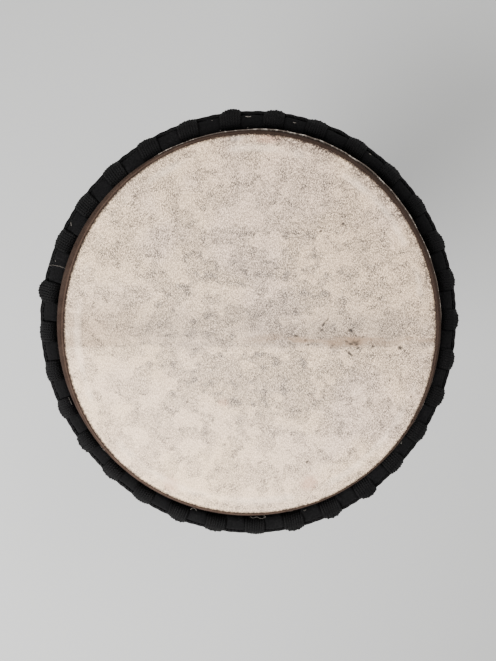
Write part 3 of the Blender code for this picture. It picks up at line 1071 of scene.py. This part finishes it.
# %% Marks on the skin
STAIN_BROWN = (0.170, 0.105, 0.060)
DOT_BROWN = (0.012, 0.008, 0.006)
RED_BROWN = (0.340, 0.170, 0.110)
GREY_BROWN = (0.330, 0.270, 0.220)
MARKS = {
    STAIN_BROWN: [
        (350, 341, 6.0, 4.6, 0, 0.40), (354, 342, 4.4, 2.2, 0, 0.70), (334, 344, 4.0, 2.2, 2, 0.55),
        (300, 340, 3.0, 3.5, -4, 0.50), (386, 344, 2.6, 5.0, 0, 0.34), (270, 336, 2.6, 6.0, 4, 0.28)
    ],
    DOT_BROWN: [
        (350.4, 330.4, 2.1, 1.3, -20, 0.90), (350.6, 343.9, 1.2, 1.9, -8, 0.90),
        (353.5, 340.0, 0.9, 1.6, 40, 0.80), (356.5, 344.6, 1.0, 1.8, 12, 0.85),
        (358.5, 340.6, 1.1, 2.0, 35, 0.85), (346.5, 341.5, 1.1, 2.2, -30, 0.75),
        (350, 354, 1.4, 2.2, -40, 0.90), (346.5, 351, 0.9, 2.0, -40, 0.70),
        (358, 348, 1.1, 1.8, 10, 0.85), (363, 337, 1.0, 1.8, 30, 0.65), (372.6, 346.4, 1.2, 1.2, 0, 0.90),
        (400, 348, 2.0, 1.3, -25, 0.95), (355.5, 342.6, 1.7, 2.2, -10, 0.80),
        (355.8, 335.8, 0.9, 1.6, -35, 0.75), (341, 348.6, 0.9, 1.8, -30, 0.65),
        (332.5, 345.6, 0.9, 1.6, 20, 0.65), (290, 343, 1.0, 1.8, 0, 0.60), (296, 336, 1.3, 2.0, 0, 0.95),
        (305.6, 340.4, 1.3, 1.3, 0, 0.85), (308, 344.8, 1.1, 1.3, 0, 0.80),
        (295, 344.4, 1.0, 1.5, 0, 0.60), (301, 351.6, 1.0, 1.2, 0, 0.60),
        (323.6, 324.4, 1.2, 2.4, 60, 0.90), (327.5, 319.5, 0.9, 3.2, 55, 0.70),
        (322, 330, 1.3, 1.4, 0, 0.85), (318.5, 333, 1.0, 1.4, 0, 0.60), (343, 224, 1.5, 1.0, 0, 0.90),
        (321, 231, 1.3, 1.0, 0, 0.80), (307, 462, 1.5, 1.0, 0, 0.85), (187, 402, 1.2, 1.0, 0, 0.80),
        (411, 397, 1.2, 1.0, 0, 0.75), (396, 428, 1.4, 1.2, 0, 0.70)
    ],
    RED_BROWN: [
        (309, 483, 7.0, 1.3, 30, 0.50), (171, 484, 7.0, 1.3, -30, 0.45), (268, 139, 4.0, 3.0, 0, 0.40),
        (223, 403, 4.0, 1.4, 0, 0.35)
    ],
    GREY_BROWN: [
        (235, 137, 5.0, 1.4, 0, 0.60)
    ],
}
for colour, marks in MARKS.items():
    for x_px, y_px, size_mm, stretch, turn_degrees, strength in marks:
        spot = {"Place": place, "Centre": tuple(on_head(x_px, y_px)), "Size": size_mm / 1000,
                "Stretch": stretch, "Turn": -radians(turn_degrees)}
        shade = blend_colours(times(use(tree, spot_group, spot)["Mask"], strength), shade, colour)
print(sum(len(marks) for marks in MARKS.values()), "marks on the skin")

# %% [markdown]
# ## The spine line and the pale arc
# The spine line is a thin broken streak on the right half. Inside the border there is a paler arc, where
# the skin is stretched hardest over the edge.

# %% Spine line and pale arc
spine = times(fade_out(calc("ABSOLUTE", above_spine), 0.0003, 0.0048),
              fade(noise(stretched(place, 60, 300, 1), 1.0, 3.0), 0.42, 0.62))
right_part = fade(right, on_head(190, 340).x, on_head(300, 340).x)
shade = blend_colours(times(spine, right_part, 0.55), shade, (0.220, 0.140, 0.085))
from_arc = calc("ABSOLUTE", plus(reach, 0.0105))
pale_arc = times(fade_out(from_arc, 0.0004, 0.0050), fade(noise(place, 24.0, 3.0), 0.45, 0.62), 0.22)
shade = blend_colours(pale_arc, shade, (1.000, 0.800, 0.620))
print("spine line and pale arc made")

# %% [markdown]
# ## The brown edge
# Beyond the border the hair side of the skin is dark brown and matt. The border is ragged, and rougher
# where the shaving was hasty, at the upper right: there tufts of hair were missed. A thin broken dark line
# along the border is painted shade. From a little below the edge on, down into the gap by the ring, over the
# fold and under the head, the brown is darkened to nearly black as painted shade.

# %% Brown edge
DEEP_BROWN = (0.012, 0.007, 0.005)
hair = noise(place, 1300.0, 3.0, 0.7)
hasty = fade(scaled(right, 0.70, times(up, 0.71)), 0.060, 0.125)
rough_edge = scaled(minus(hair, 0.5), scaled(hasty, 0.0016, 0.0024), reach)
patchy = times(fade(noise(place, 75.0, 3.0, 0.6), 0.42, 0.62), scaled(hasty, -0.15, 0.25))
brown = blend_colours(hair, (0.009, 0.0055, 0.0045), (0.035, 0.021, 0.015))
brown = blend_colours(patchy, brown, (0.060, 0.040, 0.030))
to_left = times(right, -1.0)
brown = blend_colours(times(fade(to_left, 0.110, 0.150), 0.30), brown, DEEP_BROWN)
tan_line = fade_out(calc("ABSOLUTE", minus(rough_edge, 0.0021)), 0.0002, 0.0008)
brown = blend_colours(times(tan_line, scaled(hasty, -0.15, 0.22)), brown, (0.130, 0.082, 0.058))
# from 7 mm beyond the border on, down into the gap by the ring, the brown turns nearly black: painted shade
brown = blend_colours(fade(reach, 0.0070, 0.0120), brown, DEEP_BROWN)
near_border = times(fade(reach, -0.0105, -0.0005), scaled(hasty, 0.80, 0.12))
tufts = times(fade(noise(place, 520.0, 2.0), 0.46, 0.53), fade(noise(place, 90.0, 3.0), 0.40, 0.54))
shade = blend_colours(times(near_border, tufts), shade, (0.045, 0.030, 0.023))
is_brown = fade(rough_edge, -0.0009, 0.0007)
shade = blend_colours(is_brown, shade, brown)
# a thin broken dark line along the border: painted shade where the skin starts to turn over the edge
dark_line = times(fade_out(calc("ABSOLUTE", rough_edge), 0.0003, 0.0016),
                  fade(noise(place, 420.0, 3.0), 0.40, 0.60), scaled(hasty, -0.4, 1.0), 0.75)
shade = blend_colours(dark_line, shade, (0.008, 0.005, 0.004))
print("brown edge made")

# %% [markdown]
# ## The cut edge and the relief of the skin
# The knife left a pale raw edge on the flap, which is dirty in most places, paler in patches and paler at the
# left, where painted highlight is added. The follicles are fine pits, and the hair side is rougher than the
# shaved side.

# %% Cut edge and relief
cut_face = at_point(tree, "cut")
# paler in patches, and at the left a painted highlight on the cut edge
pale_cut_and_glint = scaled(fade(to_left, 0.060, 0.130), 0.60, fade(noise(place, 240.0, 3.0, 0.6), 0.50, 0.62), clamp=True)
cut_colour = blend_colours(pale_cut_and_glint, (0.105, 0.084, 0.071), (0.380, 0.335, 0.295))
shade = blend_colours(cut_face, shade, cut_colour)
join(shade, shader.inputs["Base Color"])
join(scaled(is_brown, -0.30, 0.36), shader.inputs["Specular IOR Level"])
join(scaled(is_brown, 0.25, 0.62), shader.inputs["Roughness"])
pits = scaled(ticks, -0.35, scaled(clouds, 0.8, noise(place, 500.0, 3.0)))
relief(shader, scaled(times(fade(reach, -0.001, 0.001), hair), 1.2, pits), 0.00030)
print("skin finish made")

# %% [markdown]
# ## The drum head
# The wet skin was laid over the bearing edge, folded round the steel flesh ring and left to dry. The flap
# that stands up inside the crown ring was trimmed with a knife, so its edge is a little wavy. The brown
# starts where the shaving stopped, which is not quite a circle.

# %% Profile of the head
COLLAR = SHELL_RADIUS + 0.0003
FLESH = ring_size("flesh_ring")
FLAP = COLLAR + SKIN + 0.0003
CUT_EDGE = HEIGHT - 0.0095
PLAYING_RADII = (0, 0.04, 0.08, 0.12, 0.145, 0.154, 0.156, 0.1575, 0.1585, 0.1593)
EDGE_MM = [(160.2, 0.1), (161.0, 0.4), (161.8, 0.9), (162.7, 1.7), (163.5, 2.8), (164.1, 4.2), (164.5, 5.8),
           (164.8, 8.0)]        # radius, and depth below the playing face
around_flesh = FLESH[2] + 0.0006
fold = []
for step in range(13):
    turn = radians(-150 + step * 240 / 12)
    fold.append((FLESH[0] + around_flesh * cos(turn), FLESH[1] + around_flesh * sin(turn)))
upper_profile = [(radius, HEIGHT) for radius in PLAYING_RADII]
upper_profile += [(radius_mm / 1000, HEIGHT - depth_mm / 1000) for radius_mm, depth_mm in EDGE_MM]
upper_profile += [(COLLAR + SKIN, HEIGHT - 0.0140), (COLLAR + SKIN, FLESH[1] + 0.004)]
flap_inside = [(FLAP, z) for z in (FLESH[1] + 0.0070, CUT_EDGE - 0.006, CUT_EDGE - 0.0015, CUT_EDGE)]
flap_outside = [(FLAP + SKIN, z) for z in (CUT_EDGE, CUT_EDGE - 0.0015, CUT_EDGE - 0.006, FLESH[1] + 0.0080)]
outer_fold = [(FLESH[0] + (r - FLESH[0]) * 1.22, FLESH[1] + (z - FLESH[1]) * 1.22) for r, z in reversed(fold)]
lower_profile = [(COLLAR, FLESH[1] + 0.002), (COLLAR, HEIGHT - 0.0100), (COLLAR - 0.0012, HEIGHT - 0.0035)]
lower_profile += [(COLLAR - 0.0030, HEIGHT - 0.0015)]
lower_profile += [(radius, HEIGHT - SKIN) for radius in (0.1580, 0.12, 0)]
head_profile = upper_profile + fold + flap_inside + flap_outside + outer_fold + lower_profile
print("the head's profile has", len(head_profile), "points")

# %% [markdown]
# ## Where the razor stopped, and where the edge is wider
# The border of the shaved part is not quite a circle. At the upper right the shell was left thicker, so the
# skin turns over further out there, and the flap leans out with it.

# %% Border and wider edge
PLAYING_RADIUS = 0.1600
WIDER = 0.0028


def shaved_radius(angle):
    """How far out the razor went, at each angle."""
    swing = 0.0007 * np.cos(angle + 0.29) + 0.0007 * np.cos(3 * angle + 2.0) - 0.0004 * np.cos(4 * angle)
    swing += 0.0009 * swell_at(angle, 0, 60)
    return PLAYING_RADIUS - 0.0012 - 0.0018 * np.cos(2 * angle + 0.15) + swing


def wider_edge(angle, radius, height):
    """How much further out the skin turns over the edge where the shell was left thicker."""
    past_playing_face = np.clip((radius - PLAYING_RADIUS) / 0.0045, 0, 1)
    near_the_top = np.clip((height - HEIGHT + 0.0140) / 0.0050, 0, 1)
    return WIDER * leaning_out(angle) * past_playing_face * near_the_top


def length_along(profile):
    return np.concatenate([[0], np.cumsum(np.hypot(*np.diff(np.array(profile), axis=0).T))])


print("the skin's disc reaches", round(length_along(upper_profile)[-1], 4), "m down to the fold")

# %% [markdown]
# ## The mesh of the head
# The profile is carried round the drum. The flap's rows are then cut unevenly, trimmed lower at the left,
# and leaned out. Each point carries how far it is beyond the shaved border, for the skin's finish to read.

# %% Drum head
HEAD_COLUMNS = 640
FLAP_FOOT = 0.572
FLAP_LEAN = 0.0040
TRIMMED_LOWER = 0.0034
radius, height, angle = turned_grid(head_profile, HEAD_COLUMNS)
flap_row = len(upper_profile) + len(fold)
on_flap = np.zeros_like(radius)
on_flap[flap_row + 1:flap_row + len(flap_inside) + 2] = 1
on_flap[[flap_row + 1, flap_row + 2, flap_row + 6]] *= 0.3
height -= on_flap * TRIMMED_LOWER * swell_at(angle, 150, 38)
height += on_flap * (0.00022 * waves(angle, height, 90, 8) + 0.00065 * waves(angle, height, 12, 9))
radius += on_flap * 0.00015 * (1 + waves(angle, height, 40, 10))
up_the_flap = np.clip((height - FLAP_FOOT) / (CUT_EDGE - FLAP_FOOT), 0, 1) ** 1.2
leaned = FLAP_LEAN * leaning_out(angle) * up_the_flap
radius += np.where(on_flap > 0, leaned, wider_edge(angle, radius, height))
shaved_to = shaved_radius(angle) + 0.00010 * waves(angle, 0.0, 70, 12)
reach = np.minimum(length_along(head_profile)[:, None] - shaved_to, 0.05)
reach[flap_row + len(flap_inside) + 4:] = 0.012
cut = np.zeros_like(radius)
cut[[flap_row + 3, flap_row + 4]] = 1
head_faces = grid_faces(len(head_profile), HEAD_COLUMNS)[:, ::-1]
head = piece("goat_skin", turned_points(radius, height, angle), head_faces, skin_finish,
             {"reach": reach.ravel(), "cut": cut.ravel()}, weld=True)
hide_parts("drum_head")

# %% [markdown]
# ## Stubble
# The razor left short stiff hair where the skin turns over the edge. Each hair is a thin spike that lies
# down along the skin, away from the middle of the head. Where the shaving was hasty, the hairs reach further
# in.

# %% Hair finish
hair_finish, tree, shader, place = new_finish("goat hair", roughness=0.55)
tone = noise(place, 260.0, 2.0)
shade = blend_colours(fade(tone, 0.35, 0.65), (0.006, 0.004, 0.003), (0.050, 0.028, 0.017))
join(shade, shader.inputs["Base Color"])
join(scaled(tone, 0.3, 0.4), shader.inputs["Roughness"])
shader.inputs["Specular IOR Level"].default_value = 0.15
print("hair finish made")

# %% [markdown]
# ## Rooting and combing the hairs
# A root's place is a length along the head's profile. From there the hair points onwards along the skin,
# lifts off it a little and is combed to one side or the other. Each hair is a spike with a foot of three
# points and a tip.

# %% Stubble
HAIRS = 7000
grow = np.random.default_rng(77)
hair_angle = grow.uniform(0, 2 * pi, HAIRS)
hurried = 0.5 + 0.5 * np.cos(hair_angle - radians(55))
at_border = grow.random(HAIRS) < 0.45
near_it = grow.normal(0, 0.0009, HAIRS) - 0.0012 * hurried * grow.random(HAIRS)
from_border = np.where(at_border, near_it, grow.uniform(0, 0.0105, HAIRS))
root_length = shaved_radius(hair_angle) + from_border


def on_skin(length):
    """Radius and height of the skin at this length along its profile."""
    profile = np.array(upper_profile)
    return np.stack([np.interp(length, length_along(profile), profile[:, axis]) for axis in (0, 1)])


root = on_skin(root_length)
root[0] += wider_edge(hair_angle, root[0], root[1])
ahead = on_skin(root_length + 0.0004) - on_skin(root_length - 0.0004)
ahead = ahead / np.maximum(np.linalg.norm(ahead, axis=0), 0.000001)
out_way = np.stack([np.cos(hair_angle), np.sin(hair_angle), 0 * hair_angle])
side_way = np.stack([-np.sin(hair_angle), np.cos(hair_angle), 0 * hair_angle])
up_way = np.array([0, 0, 1.0])[:, None]
off_skin = up_way * ahead[0] - out_way * ahead[1]
lay = out_way * ahead[0] + up_way * ahead[1] + off_skin * grow.uniform(0.10, 0.55, HAIRS)
lay = lay + side_way * grow.normal(0, 0.45, HAIRS)
lay = lay / np.linalg.norm(lay, axis=0)
foot = out_way * root[0] + up_way * root[1] - off_skin * 0.0001
tip = foot + lay * grow.uniform(0.0006, 0.0019, HAIRS)
thick = grow.uniform(0.00005, 0.00010, HAIRS)
corners = [foot + thick * side_way, foot - thick * side_way, foot + thick * off_skin * 1.6, tip]
hair_points = np.stack(corners, axis=0).transpose(2, 0, 1).reshape(-1, 3)
spike = np.array([[0, 2, 3], [2, 1, 3], [1, 0, 3], [0, 1, 2]])
hair_faces = (np.arange(HAIRS)[:, None, None] * 4 + spike[None]).reshape(-1, 3)
piece("stubble", hair_points, hair_faces, hair_finish)

# %% [markdown]
# ## The flesh ring
# A ring of steel rod is hidden in the fold of the skin. It keeps its solid and takes a plain steel finish.

# %% Steel finish
steel_finish, tree, shader, place = new_finish("bare steel", roughness=0.35, metallic=1.0)
rust = fade(noise(place, 220.0, 4.0, 0.65), 0.50, 0.66)
shade = blend_colours(rust, (0.380, 0.370, 0.355), (0.130, 0.060, 0.030))
join(shade, shader.inputs["Base Color"])
join(scaled(rust, 0.45, 0.32), shader.inputs["Roughness"])
relief(shader, rust, 0.0001)
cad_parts["flesh_ring"].material_slots[0].material = steel_finish
print("steel finish made")

# %% [markdown]
# ## Lint
# Black rope picks up pale lint and loose threads. Each one is a thin bent thread that lies on the ring. It
# is given by its height, its thickness in millimetres and the places in the picture's frame that it runs
# through.

# %% Lint finish and lint
lint_finish, tree, shader, place = new_finish("pale lint", roughness=0.9)
shade = blend_colours(noise(place, 700.0), (0.220, 0.195, 0.170), (0.070, 0.060, 0.050))
join(shade, shader.inputs["Base Color"])
relief(shader, noise(place, 3000.0), 0.00005)
ON_ROPE = CROWN[1] + 0.0098
ON_CLOTH = CROWN[1] + 0.0062
THREADS = [
    (ON_ROPE, 0.17, [(48.6, 265.6), (53.0, 265.1), (58.5, 266.0), (63.0, 267.6), (66.6, 268.6)]),
    (ON_CLOTH, 0.40, [(245.6, 116.2), (248.2, 116.8), (251.0, 116.4)]),
    (ON_CLOTH, 0.35, [(293.4, 122.2), (294.8, 122.9), (296.2, 122.8)]),
    (ON_CLOTH, 0.26, [(211.6, 120.4), (212.6, 120.9)]), (ON_CLOTH, 0.30, [(220.2, 130.6), (220.9, 130.0)]),
    (ON_CLOTH, 0.30, [(247.0, 128.0), (248.0, 127.6)]), (ON_CLOTH, 0.28, [(286.9, 130.4), (288.2, 131.0)]),
    (ON_CLOTH, 0.34, [(70.6, 255.4), (70.0, 256.8), (70.5, 258.2)]),
    (ON_CLOTH, 0.30, [(63.6, 274.2), (65.0, 274.8)]),
    (ON_CLOTH, 0.28, [(55.2, 260.4), (55.8, 261.6)]), (ON_CLOTH, 0.26, [(70.8, 222.0), (71.4, 226.0)]),
    (ON_CLOTH, 0.26, [(68.6, 397.2), (70.0, 401.0), (72.0, 404.4)]),
    (ON_CLOTH, 0.24, [(190.4, 509.6), (192.8, 508.0), (195.6, 509.2), (196.4, 510.8)]),
    (ON_CLOTH, 0.24, [(250.2, 516.6), (253.0, 518.0), (257.0, 517.0), (261.0, 518.6), (265.4, 517.2),
                      (264.0, 515.6)]),
    (ON_CLOTH, 0.24, [(303.6, 510.8), (306.2, 509.8)]), (ON_CLOTH, 0.30, [(369.4, 153.4), (370.8, 155.0)]),
    (ON_CLOTH, 0.24, [(401.6, 441.6), (401.0, 443.8)]),
]
lint_tubes = []
for level, thickness_mm, pixels in THREADS:
    route = [on_head(x_px, y_px, level + 0.0003 * chance.random()) for x_px, y_px in pixels]
    line, along = even_steps(smooth(route), 0.0005)
    lint_tubes.append((line, along, thickness_mm / 2000, 5, False, {}))
several_tubes("lint_on_the_ring", lint_tubes, lint_finish)

# %% [markdown]
# ## The studio
# A plain pale floor and soft lights: a large one from the picture's lower left, a weaker one from its upper
# right, and a pale world that fills the shadows.

# %% Floor, lights and world
floor_finish, tree, shader, place = new_finish("pale floor", roughness=0.8)
shader.inputs["Base Color"].default_value = (0.33, 0.33, 0.326, 1.0)
bpy.ops.mesh.primitive_plane_add(size=60, location=(0, 0, 0))
floor = bpy.context.object
floor.name = "floor"
floor.data.materials.append(floor_finish)


def soft_light(name, place_of_light, size, power):
    data = bpy.data.lights.new(name, "AREA")
    data.shape = "DISK"
    data.size = size
    data.energy = power
    light = bpy.data.objects.new(name, data)
    place_of_light = Vector(place_of_light)
    light.matrix_world = Matrix.Translation(place_of_light) @ facing(
        (place_of_light - head_centre).normalized(), Vector((0, 1, 0.01))).to_4x4()
    bpy.context.scene.collection.objects.link(light)


soft_light("key_light", (-1.0, -0.9, 1.6), 1.2, 112)
soft_light("fill_light", (1.3, 1.5, 2.1), 1.8, 62)
world = bpy.data.worlds.new("studio")
world.use_nodes = True
world.node_tree.nodes["Background"].inputs["Color"].default_value = (0.94, 0.94, 0.93, 1.0)
world.node_tree.nodes["Background"].inputs["Strength"].default_value = 1.10
bpy.context.scene.world = world
